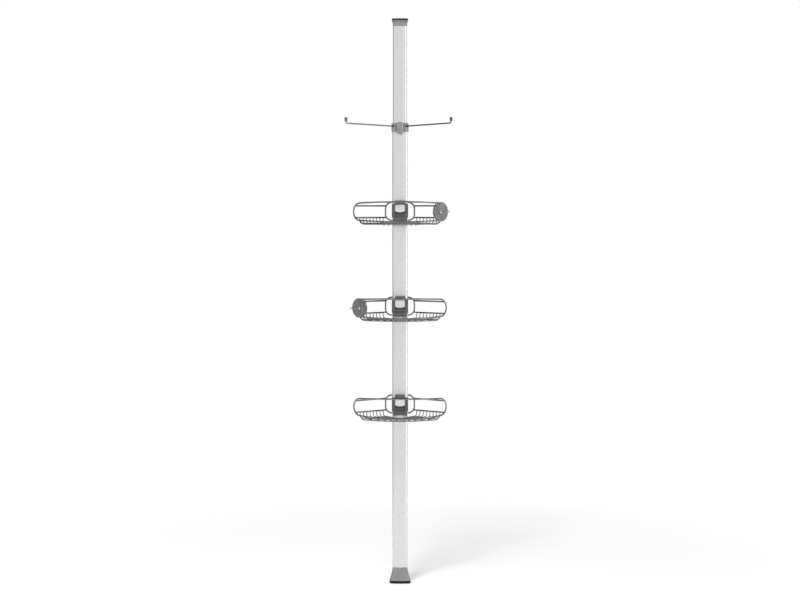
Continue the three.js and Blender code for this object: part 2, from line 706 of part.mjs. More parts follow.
function clampLeverSolid() {
  const { width, pivotZ, bottom, barrel } = CLAMP_LEVER;
  const half = width / 2;
  const outline = leverOutline(half, 0, bottom - pivotZ);
  const slab = toSolid(prism(outline, -2, 4).rotateX(Math.PI / 2));
  const topRelief = box([-half - 1, -8, -3], [half + 1, 8, 6]);
  return slab
    .subtract(topRelief)
    .add(cylinder(barrel, width, 'x', [0, 0, 0], 16))
    .subtract(cylinder(PIN_RADIUS + GAP, width + 2, 'x', [0, 0, 0], 12));
}

function leverPlateSolid() {
  const { width, back, thickness, top } = LEVER_PLATE;
  const low = CLAMP_LEVER.bottom - CLAMP_LEVER.pivotZ + 0.4;
  const outline = leverOutline(width / 2, top, low);
  return toSolid(prism(outline, back, back + thickness, 8).rotateX(Math.PI / 2));
}

// ---- The hooks ----------------------------------------------------------------------

// A pressed cap that goes over a half-round end, in its own frame: +X towards the outside of
// the basket, +Z up, and -Y the way it faces. Its rim is notched where the rails leave, and a
// lip on the outer side snaps behind the wire.
function hookCapSolid() {
  const { radius, wall, front, back, sheet, lip } = HOOK_CAP;
  const depth = back - front;
  const rounds = 40;
  const wireGap = FRAME_WIRE + GAP;
  const shell = cylinder(radius, depth, 'y', [0, (front + back) / 2, 0], rounds)
    .subtract(cylinder(radius - wall, depth, 'y', [0, (front + back) / 2 + sheet, 0], rounds));
  const lipShape = new THREE.Shape();
  const spread = Math.PI / 6;
  lipShape.absarc(0, 0, radius - wall / 2, -spread, spread);
  lipShape.absarc(0, 0, radius - wall - lip, spread, -spread, true);
  lipShape.closePath();
  const lipSolid = toSolid(prism(lipShape, -back, -wireGap, 6).rotateX(Math.PI / 2));
  let cap = shell.add(lipSolid);
  const notch = { from: -23, to: -2, low: RING.endRadius - wireGap - 0.4 };
  for (const side of [-1, 1]) {
    const edges = [side * notch.low, side * (radius + 1)].sort((a, b) => a - b);
    cap = cap.subtract(box([notch.from, -wireGap, edges[0]], [notch.to, back + 1, edges[1]]));
  }
  const pegHole = cylinder(PEG.radius + GAP, 20, 'y', [0, front, 0], 16);
  return cap.subtract(pegHole);
}

// The cap's peg: a rod with a collar behind the sheet, a tapered root and a knob at its tip.
function hookPegSolid() {
  const { radius, flange, length, knob } = PEG;
  const face = -HOOK_CAP.front;
  const sheetBack = face - HOOK_CAP.sheet - GAP;
  const tip = face + length;
  const profile = [
    [0, sheetBack - 2], [flange, sheetBack - 2], [flange, sheetBack], [radius, sheetBack],
    [radius, face + GAP], [flange, face + GAP], [radius, face + 6], [radius, tip - 6],
    [knob, tip - 4], [knob, tip - 1.5], [knob - 1.5, tip], [0, tip],
  ].map(([distance, height]) => new THREE.Vector2(distance, height));
  return toSolid(new THREE.LatheGeometry(profile, 16).rotateX(Math.PI));
}

function addHook(shelf, name, side) {
  const [x, y] = bowPoint(side * RING.halfAngle, 0);
  const hook = new THREE.Group();
  hook.position.set(x, y, RING_MIDDLE_Z);
  hook.rotation.z = side * RING.halfAngle;
  shelf.add(hook);
  let cap = hookCapSolid();
  if (side < 0) cap = cap.mirror([1, 0, 0]);
  addMesh(hook, `${name}_hook_disc`, cap, brushedSteel());
  addMesh(hook, `${name}_hook_peg`, hookPegSolid(), polishedSteel());
}

// ---- A whole basket -----------------------------------------------------------------

function buildShelf(name, height, hasDish) {
  const shelf = new THREE.Group();
  shelf.position.z = height;
  group.add(shelf);

  addMesh(shelf, `${name}_basket_frame`, basketFrameSolid(), polishedSteel());
  addMesh(shelf, `${name}_basket_floor`, basketFloorSolid(hasDish), polishedSteel());
  addMesh(shelf, `${name}_clamp_body`, clampBodySolid(), darkPlastic());
  addMesh(shelf, `${name}_clamp_back`, clampBackSolid(), darkPlastic());

  const pivot = [0, CLAMP_LEVER.pivotY, CLAMP_LEVER.pivotZ];
  addMesh(shelf, `${name}_clamp_lever`, clampLeverSolid(), darkPlastic(), pivot);
  addMesh(shelf, `${name}_lever_plate`, leverPlateSolid(), polishedSteel(), pivot);
  const pin = cylinder(PIN_RADIUS, CLAMP_PIN_LENGTH, 'x', [0, 0, 0], 12);
  addMesh(shelf, `${name}_lever_pin`, pin, springSteel(), pivot);
  const { halfWidth, front, bottom, top } = CLAMP_SHOE;
  const shoe = box([-halfWidth, front, bottom], [halfWidth, -OUTER_TUBE.depth / 2 - 2 * GAP, top]);
  addMesh(shelf, `${name}_clamp_shoe`, shoe, blackRubber());
  return shelf;
}

buildPole();
buildCollar();
buildShelf('lower', SHELF_HEIGHTS.lower, false);
const middleShelf = buildShelf('middle', SHELF_HEIGHTS.middle, false);
const upperShelf = buildShelf('upper', SHELF_HEIGHTS.upper, true);
addHook(middleShelf, 'middle', -1);
addHook(upperShelf, 'upper', 1);
addMesh(upperShelf, 'soap_dish', soapDishSolid(), polishedSteel());

export default group;
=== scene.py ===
"""Looks for a floor-to-ceiling shower caddy: a telescoping pole with a towel-arm collar and
three wire baskets on lever clamps. Metres, +Z up, baskets facing -Y."""
import json
import math

import bmesh
import bpy
from mathutils import Matrix, Vector


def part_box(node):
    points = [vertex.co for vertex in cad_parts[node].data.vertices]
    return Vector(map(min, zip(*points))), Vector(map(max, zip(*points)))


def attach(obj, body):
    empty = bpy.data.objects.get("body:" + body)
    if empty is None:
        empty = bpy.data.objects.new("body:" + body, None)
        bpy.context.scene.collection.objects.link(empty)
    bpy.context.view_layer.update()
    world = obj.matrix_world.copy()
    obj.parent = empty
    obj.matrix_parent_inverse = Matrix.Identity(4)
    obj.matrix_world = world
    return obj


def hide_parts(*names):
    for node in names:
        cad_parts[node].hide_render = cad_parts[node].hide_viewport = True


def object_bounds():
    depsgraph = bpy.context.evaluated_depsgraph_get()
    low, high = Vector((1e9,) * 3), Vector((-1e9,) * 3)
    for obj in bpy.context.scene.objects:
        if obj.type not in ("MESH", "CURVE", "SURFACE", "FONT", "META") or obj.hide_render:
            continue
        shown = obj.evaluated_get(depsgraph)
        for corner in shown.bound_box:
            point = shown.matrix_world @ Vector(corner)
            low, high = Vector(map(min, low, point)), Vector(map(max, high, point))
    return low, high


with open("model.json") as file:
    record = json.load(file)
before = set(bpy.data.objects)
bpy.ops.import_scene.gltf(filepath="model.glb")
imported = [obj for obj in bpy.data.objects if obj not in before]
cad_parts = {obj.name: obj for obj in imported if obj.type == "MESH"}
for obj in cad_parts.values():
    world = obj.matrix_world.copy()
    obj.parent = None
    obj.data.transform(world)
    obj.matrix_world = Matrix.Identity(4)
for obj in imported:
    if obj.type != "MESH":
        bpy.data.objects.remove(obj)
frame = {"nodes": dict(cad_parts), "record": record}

cad_low, cad_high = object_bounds()

MM = 0.001
SHELVES = ("lower", "middle", "upper")

# Wire sizes and the basket's plan, as in the frame.
FRAME_WIRE = 2.7 * MM
FLOOR_WIRE = 1.5 * MM
EDGE_WIRE = 2.0 * MM
RING_RADIUS = 200 * MM
RING_HALF_ANGLE = math.radians(45)
RING_RISE = 4 * MM
RING_DIP = 5 * MM
END_RADIUS = 30.3 * MM
RING_MIDDLE = -35.5 * MM
LOOP_HALF_WIDTH = 51.3 * MM
LOOP_HEIGHT = 69.2 * MM
LOOP_CORNER = 22 * MM
BACK_RAILS = (-15 * MM, -56.3 * MM)
FLOOR_LEVEL = -76 * MM
EDGE_LEVEL = -79 * MM
FLOOR_WIRE_FIRST = 60 * MM
FLOOR_WIRE_PITCH = 11.6 * MM
FLOOR_WIRE_COUNT = 8
DISH_OPENING_HALF = 62 * MM
DISH_OPENING_BACK = -54 * MM
MIDDLE_WIRE_BACK = -50 * MM
CLAMP_RISE = 3.5 * MM

# The frame's thick wires are six-sided: their flats lie this share of a radius out.
CAD_WIRE_FLAT = math.cos(math.radians(30))

# The towel arms' wire and pivot pin, as in the frame.
ARM_WIRE = 2.6 * MM
ARM_PIN = 2.8 * MM

# The pole's section, as in the frame.
POLE_CORNER = 9 * MM
POLE_BOW = 2.5 * MM

# How meshes are cleaned and shaded.
SAME_PLACE = 0.01 * MM
SAME_PLANE = math.radians(1)
SHARP_EDGE = math.radians(35)
BEVELLED_EDGE = math.radians(30)

# A wire's domed end, as shares of its radius, and the most of a leg that a bend may take.
DOME_REACH = 0.25
DOME_SIZE = 0.72
BEND_SHARE = 0.48

# The part of a noise texture's range that its values mostly fill.
NOISE_LOW = 0.3
NOISE_HIGH = 0.7


# ---- Node materials ------------------------------------------------------------------

class Nodes:
    """A material's node tree, with short calls for the nodes used here."""

    def __init__(self, name):
        self.material = bpy.data.materials.new(name)
        self.material.use_nodes = True
        self.tree = self.material.node_tree
        self.shader = self.tree.nodes["Principled BSDF"]
        self.place = self.add("ShaderNodeTexCoord").outputs["Object"]

    def add(self, kind, **settings):
        node = self.tree.nodes.new(kind)
        for key, value in settings.items():
            setattr(node, key, value)
        return node

    def link(self, source, target):
        self.tree.links.new(source, target)

    def stretched(self, scale):
        mapping = self.add("ShaderNodeMapping")
        mapping.inputs["Scale"].default_value = scale
        self.link(self.place, mapping.inputs["Vector"])
        return mapping.outputs["Vector"]

    def noise(self, scale, detail, stretch=(1, 1, 1)):
        node = self.add("ShaderNodeTexNoise")
        node.inputs["Scale"].default_value = scale
        node.inputs["Detail"].default_value = detail
        self.link(self.stretched(stretch), node.inputs["Vector"])
        return node.outputs["Fac"]

    def remap(self, value, low, high):
        node = self.add("ShaderNodeMapRange")
        node.inputs["From Min"].default_value = NOISE_LOW
        node.inputs["From Max"].default_value = NOISE_HIGH
        node.inputs["To Min"].default_value = low
        node.inputs["To Max"].default_value = high
        self.link(value, node.inputs["Value"])
        return node.outputs["Result"]

    def colours(self, value, dark, light):
        ramp = self.add("ShaderNodeValToRGB")
        for stop, position, colour in zip(
                ramp.color_ramp.elements, (NOISE_LOW, NOISE_HIGH), (dark, light)):
            stop.position = position
            stop.color = (*colour, 1)
        self.link(value, ramp.inputs["Fac"])
        return ramp.outputs["Color"]

    def bump(self, height, distance, strength, under=None):
        node = self.add("ShaderNodeBump")
        node.inputs["Distance"].default_value = distance
        node.inputs["Strength"].default_value = strength
        self.link(height, node.inputs["Height"])
        if under is not None:
            self.link(under, node.inputs["Normal"])
        return node.outputs["Normal"]

    def finish(self, colour, roughness, normal, **constants):
        self.link(colour, self.shader.inputs["Base Color"])
        self.link(roughness, self.shader.inputs["Roughness"])
        self.link(normal, self.shader.inputs["Normal"])
        for name, value in constants.items():
            self.shader.inputs[name.replace("_", " ")].default_value = value
        return self.material


def anodised_aluminium():
    """Satin tube: fine lines drawn along the length, faint cloudiness, a few water marks."""
    n = Nodes("anodised_aluminium")
    lines = n.noise(320, detail=3, stretch=(1, 1, 0.004))
    clouds = n.noise(9, detail=3, stretch=(1, 1, 0.35))
    marks = n.noise(45, detail=6)
    colour = n.colours(clouds, (0.69, 0.69, 0.695), (0.74, 0.74, 0.745))
    rough = n.add("ShaderNodeMath", operation="ADD")
    n.link(n.remap(lines, 0.26, 0.32), rough.inputs[0])
    n.link(n.remap(marks, -0.02, 0.03), rough.inputs[1])
    normal = n.bump(lines, 0.02 * MM, strength=0.15)
    return n.finish(colour, rough.outputs["Value"], normal, Metallic=1.0)


def polished_steel():
    """Electropolished wire: near mirror, with a slight ripple from bending and rinse marks."""
    n = Nodes("polished_steel")
    ripple = n.noise(160, detail=2)
    film = n.noise(70, detail=6)
    colour = n.colours(film, (0.21, 0.213, 0.22), (0.31, 0.313, 0.32))
    rough = n.remap(film, 0.10, 0.22)
    normal = n.bump(ripple, 0.2 * MM, strength=0.25)
    return n.finish(colour, rough, normal, Metallic=1.0)


def polished_steel_painted_bright():
    """Buffed sheet with soft buffing swirls and finger smears. Its base colour is painted light: a
    brighter copy of the wires' steel that stands in for a bright reflection.
    """
    n = Nodes("polished_steel_painted_bright")
    swirls = n.noise(420, detail=5, stretch=(1, 1, 0.25))
    smears = n.noise(60, detail=6)
    # Painted highlight: these colours are far lighter than the wire steel's, so the sheet looks
    # brightly lit.
    colour = n.colours(smears, (0.66, 0.665, 0.675), (0.80, 0.805, 0.815))
    rough = n.remap(swirls, 0.16, 0.30)
    normal = n.bump(swirls, 0.05 * MM, strength=0.3)
    return n.finish(colour, rough, normal, Metallic=1.0)


def brushed_steel():
    """Straight-grained sheet: short streaks one way, darker scuffs and dried drops."""
    n = Nodes("brushed_steel")
    grain = n.noise(700, detail=4, stretch=(1, 1, 0.03))
    blotches = n.noise(55, detail=5)
    colour = n.colours(blotches, (0.27, 0.275, 0.285), (0.42, 0.425, 0.435))
    rough = n.remap(grain, 0.26, 0.46)
    normal = n.bump(grain, 0.08 * MM, strength=0.5)
    return n.finish(colour, rough, normal, Metallic=1.0)


def spring_steel():
    """Bright drawn wire and turned pins."""
    n = Nodes("spring_steel")
    drawn = n.noise(500, detail=3, stretch=(1, 1, 0.1))
    stain = n.noise(80, detail=5)
    colour = n.colours(stain, (0.26, 0.262, 0.27), (0.36, 0.362, 0.37))
    rough = n.remap(drawn, 0.22, 0.4)
    normal = n.bump(drawn, 0.05 * MM, strength=0.4)
    return n.finish(colour, rough, normal, Metallic=1.0)


def moulded_plastic(name, dark, light, roughness, flake=0.0):
    """Injection-moulded plastic: spark-eroded grain, slight flow clouds, greasy polish spots."""
    n = Nodes(name)
    grain = n.noise(2600, detail=2)
    clouds = n.noise(38, detail=5)
    handling = n.noise(90, detail=4)
    colour = n.colours(clouds, dark, light)
    rough = n.remap(handling, roughness - 0.07, roughness + 0.09)
    swell = n.bump(clouds, 0.2 * MM, strength=0.25)
    normal = n.bump(grain, 0.06 * MM, strength=0.6, under=swell)
    return n.finish(colour, rough, normal, Specular_IOR_Level=0.5, Metallic=flake)


def black_rubber():
    """Matt rubber with a pebbled skin and a bloom of pale dust."""
    n = Nodes("black_rubber")
    pebble = n.noise(1500, detail=3)
    dust = n.noise(60, detail=6)
    colour = n.colours(dust, (0.004, 0.004, 0.0045), (0.012, 0.012, 0.013))
    rough = n.remap(dust, 0.66, 0.88)
    normal = n.bump(pebble, 0.15 * MM, strength=0.6)
    return n.finish(colour, rough, normal, Specular_IOR_Level=0.3)


MATERIALS = {
    "anodised_aluminium": anodised_aluminium(),
    "polished_steel": polished_steel(),
    # The same polished steel as the wires, with its colour painted lighter as a painted highlight.
    "polished_steel_painted_bright": polished_steel_painted_bright(),
    "brushed_steel": brushed_steel(),
    "spring_steel": spring_steel(),
    "grey_plastic": moulded_plastic(
        "grey_plastic", (0.235, 0.24, 0.25), (0.30, 0.305, 0.315), 0.3, flake=0.35),
    "dark_plastic": moulded_plastic(
        "dark_plastic", (0.07, 0.072, 0.078), (0.115, 0.118, 0.125), 0.34),
    "black_rubber": black_rubber(),
}


# ---- Building and placing pieces -----------------------------------------------------

def dress(mesh, finish):
    """Gives a mesh its material, and smooth shading that breaks at its true edges."""
    mesh.materials.clear()
    mesh.materials.append(MATERIALS[finish])
    for polygon in mesh.polygons:
        polygon.use_smooth = True
    mesh.set_sharp_from_angle(angle=SHARP_EDGE)


def add_piece(name, mesh, slot, body, replaced, finish=None):
    """Puts a mesh in the scene as one piece of the object."""
    dress(mesh, finish or slot)
    piece = bpy.data.objects.new(name, mesh)
    bpy.context.scene.collection.objects.link(piece)
    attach(piece, body)
    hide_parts(*replaced)
    return piece


def mesh_from(bm, name):
    bmesh.ops.recalc_face_normals(bm, faces=bm.faces)
    mesh = bpy.data.meshes.new(name)
    bm.to_mesh(mesh)
    bm.free()
    return mesh


def bevel(piece, width):
    """Rounds a piece's sharp edges."""
    modifier = piece.modifiers.new("rounded_edges", "BEVEL")
    modifier.width = width
    modifier.segments = 3
    modifier.limit_method = "ANGLE"
    modifier.angle_limit = BEVELLED_EDGE
    modifier.harden_normals = True
    modifier.use_clamp_overlap = True


def rounded_copy(node, name, slot, body, width):
    """The node's own shape with its edges rounded, as a moulding's are."""
    bm = bmesh.new()
    bm.from_mesh(frame["nodes"][node].data)
    bmesh.ops.remove_doubles(bm, verts=bm.verts, dist=SAME_PLACE)
    bmesh.ops.dissolve_limit(bm, angle_limit=SAME_PLANE, verts=bm.verts, edges=bm.edges)
    bevel(add_piece(name, mesh_from(bm, name), slot, body, [node]), width)


def join_rings(bm, near, far):
    """Quads between two rings of as many points."""
    count = len(near)
    for k in range(count):
        following = (k + 1) % count
        bm.faces.new((near[k], near[following], far[following], far[k]))


def skin(bm, rings, closed=False):
    """Joins rings in a row: in a loop where it is closed, and otherwise with both ends capped."""
    for near, far in zip(rings, rings[1:]):
        join_rings(bm, near, far)
    if closed:
        join_rings(bm, rings[-1], rings[0])
    else:
        bm.faces.new(rings[0][::-1])
        bm.faces.new(rings[-1])


def along(points, closed):
    """Unit tangents of a path."""
    count = len(points)
    tangents = []
    for i in range(count):
        before = points[i - 1] if i or closed else points[0]
        after = points[(i + 1) % count] if i < count - 1 or closed else points[-1]
        tangents.append((after - before).normalized())
    return tangents


def sweep(bm, points, radius, sides, closed=False):
    """Adds a round wire along a path of points, with softly domed ends where it is open."""
    tangents = along(points, closed)
    side = tangents[0].orthogonal().normalized()
    acrosses = [side]
    for before, after in zip(tangents, tangents[1:]):
        side = before.rotation_difference(after) @ side
        acrosses.append((side - after * side.dot(after)).normalized())
    twist = 0.0
    if closed:
        last = tangents[-1].rotation_difference(tangents[0]) @ acrosses[-1]
        first = acrosses[0]
        twist = math.atan2(tangents[0].dot(first.cross(last)), first.dot(last))

    def ring(index, place, size):
        tangent, across = tangents[index], acrosses[index]
        up = tangent.cross(across)
        turn = -twist * index / len(points)
        corners = []
        for k in range(sides):
            angle = 2 * math.pi * k / sides + turn
            offset = across * math.cos(angle) + up * math.sin(angle)
            corners.append(bm.verts.new(place + offset * size))
        return corners

    reach, size = radius * DOME_REACH, radius * DOME_SIZE
    rings = []
    if not closed:
        rings.append(ring(0, points[0] - tangents[0] * reach, size))
    rings += [ring(i, point, radius) for i, point in enumerate(points)]
    if not closed:
        rings.append(ring(len(points) - 1, points[-1] + tangents[-1] * reach, size))
    skin(bm, rings, closed)


def quadratic(start, control, end, t):
    """The point at t, from 0 to 1, on a curve with one control point."""
    a, b, c = (1 - t) ** 2, 2 * t * (1 - t), t ** 2
    return tuple(a * p + b * q + c * r for p, q, r in zip(start, control, end))


def filleted(corners, radius, steps):
    """A path through corner points with each inner corner rounded."""
    corners = [Vector(corner) for corner in corners]
    path = [corners[0]]
    for before, corner, after in zip(corners, corners[1:], corners[2:]):
        legs = (corner - before).length, (after - corner).length
        reach = min(radius, BEND_SHARE * min(legs))
        start = corner + (before - corner).normalized() * reach
        end = corner + (after - corner).normalized() * reach
        path += [Vector(quadratic(start, corner, end, i / steps)) for i in range(steps + 1)]
    path.append(corners[-1])
    return path


def weld(bm, place, radius):
    """A small resistance-weld nugget where two wires cross, a little flatter than a ball."""
    flattened = Matrix.Diagonal((1.0, 1.0, 0.8, 1.0))
    bmesh.ops.create_icosphere(
        bm, subdivisions=2, radius=radius, matrix=Matrix.Translation(place) @ flattened)


def lathe(bm, profile, sides, transform):
    """Spins (radius, height) points about Z, then places the result. A radius of 0 is a tip."""
    turn = 2 * math.pi / sides
    rings = []
    for radius, height in profile:
        places = [
            Vector((radius * math.cos(turn * k), radius * math.sin(turn * k), height))
            for k in range(sides if radius else 1)]
        rings.append([bm.verts.new(transform @ place) for place in places])
    for near, far in zip(rings, rings[1:]):
        if len(near) == len(far):
            join_rings(bm, near, far)
            continue
        for k in range(sides):
            following = (k + 1) % sides
            if len(near) == 1:
                bm.faces.new((near[0], far[k], far[following]))
            else:
                bm.faces.new((near[k], near[following], far[0]))


# ---- The pole's section --------------------------------------------------------------

def pole_outline(width, depth):
    """The flattened section, bowed front and back, as points in plan, counterclockwise."""
    side_steps, corner_steps, bow_steps = 2, 10, 10
    margin, droop = 2 * MM, 0.5 * MM
    x, shoulder = width / 2, depth / 2 - POLE_BOW
    corner = min(POLE_CORNER, x - margin, shoulder - margin)
    quarter = [(x, (shoulder - corner) * i / side_steps) for i in range(side_steps)]
    for i in range(corner_steps + 1):
        quarter.append(quadratic(
            (x, shoulder - corner), (x, shoulder - droop), (x - corner, shoulder), i / corner_steps))
    for i in range(1, bow_steps + 1):
        share = 1 - i / bow_steps
        quarter.append((share * (x - corner), shoulder + POLE_BOW * (1 - share ** 2)))
    half = quarter + [(-px, py) for px, py in reversed(quarter[:-1])]
    return half + [(-px, -py) for px, py in half[1:-1]]


def loft(bm, levels, closed=False):
    """Joins pole-shaped sections: each level is (width, depth, z)."""
    rings = []
    for width, depth, z in levels:
        rings.append([bm.verts.new((x, y, z)) for x, y in pole_outline(width, depth)])
    skin(bm, rings, closed)


def plan_size(node):
    """A node's (width, depth)."""
    low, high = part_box(node)
    return high.x - low.x, high.y - low.y


def shrunk(size, by):
    """A (width, depth) with both cut by one length."""
    return size[0] - by, size[1] - by


def between(near, far, share):
    """The (width, depth) that lies part of the way from one to another."""
    return tuple(a + (b - a) * share for a, b in zip(near, far))


def build_tube(node, body, wall):
    """A drawn tube with a small chamfer at each cut end."""
    low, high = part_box(node)
    size = plan_size(node)
    bore = shrunk(size, 2 * wall)
    edge = 0.6 * MM
    cut_end = shrunk(size, 2 * edge)
    bm = bmesh.new()
    loft(bm, [
        (*bore, low.z + edge), (*cut_end, low.z), (*size, low.z + edge),
        (*size, high.z - edge), (*cut_end, high.z), (*bore, high.z),
    ], closed=True)
    add_piece(f"{node}_drawn", mesh_from(bm, node), "anodised_aluminium", body, [node])


def build_pad(node, body, grooves):
    """A rubber pad with rounded edges and grooves round its side."""
    low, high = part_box(node)
    size = plan_size(node)
    edge = 0.9 * MM
    depth, half_mouth, half_floor = 0.7 * MM, 0.7 * MM, 0.35 * MM
    # Both outlines are of (inset, rise) points.
    rim = ((3 * edge, 0), (edge, 0.3 * edge), (0, edge))
    groove = ((0, -half_mouth), (depth, -half_floor), (depth, half_floor), (0, half_mouth))
    levels = [(*shrunk(size, inset), low.z + rise) for inset, rise in rim]
    for i in range(grooves):
        middle = low.z + (high.z - low.z) * (i + 1) / (grooves + 1)
        levels += [(*shrunk(size, inset), middle + rise) for inset, rise in groove]
    levels += [(*shrunk(size, inset), high.z - rise) for inset, rise in reversed(rim)]
    bm = bmesh.new()
    loft(bm, levels)
    add_piece(f"{node}_rubber", mesh_from(bm, node), "black_rubber", body, [node])


def build_foot():
    """The flared foot: a lip at the floor, a slightly swelling flare, and a plug in the tube."""
    low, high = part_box("foot")
    size, tube = plan_size("foot"), plan_size("outer_tube")
    lip_top = low.z + 4 * MM
    lip_round, sole_round = 0.6 * MM, 1.2 * MM
    neck_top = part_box("outer_tube")[0].z - 0.3 * MM
    flare_low, flare_high = lip_top + 0.3 * MM, neck_top - 0.9 * MM
    flare_foot, neck = shrunk(size, 2 * lip_round), shrunk(tube, 2 * MM)
    plug = shrunk(tube, 4 * MM)
    plug_taper = 1.5 * MM
    steps = 8
    swell = 0.06

    levels = [
        (*shrunk(size, 2 * sole_round), low.z), (*size, low.z + 0.8 * MM),
        (*size, lip_top - lip_round), (*flare_foot, lip_top)]
    for i in range(steps + 1):
        t = i / steps
        share = t + swell * math.sin(math.pi * t)
        levels.append((*between(flare_foot, neck, share), flare_low + (flare_high - flare_low) * t))
    levels += [
        (*shrunk(neck, 0.8 * MM), neck_top), (*plug, neck_top), (*plug, high.z - plug_taper),
        (*shrunk(plug, 2 * plug_taper), high.z)]
    bm = bmesh.new()
    loft(bm, levels)
    add_piece("foot_moulding", mesh_from(bm, "foot"), "grey_plastic", "pole", ["foot"])


def build_top_cap():
    """The cap under the ceiling pad: a stem inside the tube, and sides that curve out to the pad."""
    low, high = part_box("top_cap")
    size, tube = plan_size("top_cap"), plan_size("inner_tube")
    stem = shrunk(tube, 4.4 * MM)
    stem_taper, rim_round = 1.5 * MM, 0.5 * MM
    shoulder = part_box("inner_tube")[1].z + 0.3 * MM
    flare_low, flare_high = shoulder + 0.5 * MM, high.z - 1.6 * MM
    steps = 10
    curving = 2.2

    levels = [
        (*shrunk(stem, 2 * stem_taper), low.z), (*stem, low.z + stem_taper), (*stem, shoulder),
        (*shrunk(tube, 0.8 * MM), shoulder), (*tube, flare_low)]
    for i in range(1, steps + 1):
        t = i / steps
        levels.append((*between(tube, size, t ** curving), flare_low + (flare_high - flare_low) * t))
    levels += [(*size, high.z - rim_round), (*shrunk(size, 2 * rim_round), high.z)]
    bm = bmesh.new()
    loft(bm, levels)
    add_piece("top_cap_moulding", mesh_from(bm, "top_cap"), "grey_plastic", "ceiling_cap", ["top_cap"])


def build_pole():
    build_tube("outer_tube", "pole", wall=1.6 * MM)
    build_tube("inner_tube", "inner_pole", wall=1.8 * MM)
    build_pad("foot_pad", "pole", grooves=1)
    build_pad("ceiling_pad", "ceiling_cap", grooves=0)
    build_foot()
    build_top_cap()


# ---- The towel collar ----------------------------------------------------------------

def build_arm_wire(name, side, body):
    """A towel arm: an upright pivot pin, and a wire out from it whose tip turns up."""
    low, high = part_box(f"towel_arm_{name}")
    cap_low, cap_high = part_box(f"arm_cap_{name}")
    tip = (cap_low + cap_high) / 2
    pin_x = (low.x if side > 0 else high.x) + side * ARM_PIN
    pin_y = high.y - ARM_PIN
    pin_low, pin_above_wire = low.z + 1 * MM, 5 * MM
    level = low.z + 16 * MM
    tip_level = cap_low.z - 7.3 * MM
    tip_bend = 9 * MM
    tip_in_cap = 8 * MM

    bm = bmesh.new()
    corners = [
        (pin_x, pin_y, level), (tip.x, tip.y, tip_level), (tip.x, tip.y, cap_low.z + tip_in_cap)]
    sweep(bm, filleted(corners, tip_bend, 10), ARM_WIRE, 18)
    pin = [Vector((pin_x, pin_y, pin_low)), Vector((pin_x, pin_y, level + pin_above_wire))]
    sweep(bm, pin, ARM_PIN, 18)
    weld(bm, Vector((pin_x, pin_y, level)), ARM_PIN + 0.3 * MM)
    add_piece(f"towel_arm_{name}_wire", mesh_from(bm, "arm"), "polished_steel", body,
              [f"towel_arm_{name}"])


def build_arm_cap(name, body):
    """A domed plastic cap over the arm's tip."""
    low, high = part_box(f"arm_cap_{name}")
    middle = (low + high) / 2
    radius = (high.x - low.x) / 2
    length = high.z - low.z
    dome, dome_steps = 3 * MM, 8
    profile = [(ARM_WIRE, 0.6 * MM), (radius - 1 * MM, 0), (radius - 0.4 * MM, 0.3 * MM),
               (radius - 0.2 * MM, 1 * MM)]
    for i in range(dome_steps + 1):
        angle = math.pi / 2 * i / dome_steps
        profile.append((
            radius - dome + dome * math.cos(angle), length - dome + dome * math.sin(angle)))
    profile.append((0, length))
    bm = bmesh.new()
    lathe(bm, profile, 28, Matrix.Translation((middle.x, middle.y, low.z)))
    add_piece(f"arm_cap_{name}_moulding", mesh_from(bm, "cap"), "dark_plastic", body,
              [f"arm_cap_{name}"])


def build_collar():
    edge = 1.2 * MM
    rounded_copy("towel_collar", "towel_collar_moulding", "grey_plastic", "pole", edge)
    rounded_copy("height_lever", "height_lever_moulding", "grey_plastic", "height_lever", edge)
    for name, side in (("left", -1), ("right", 1)):
        body = f"{name}_arm"
        build_arm_wire(name, side, body)
        build_arm_cap(name, body)


# ---- The baskets ---------------------------------------------------------------------

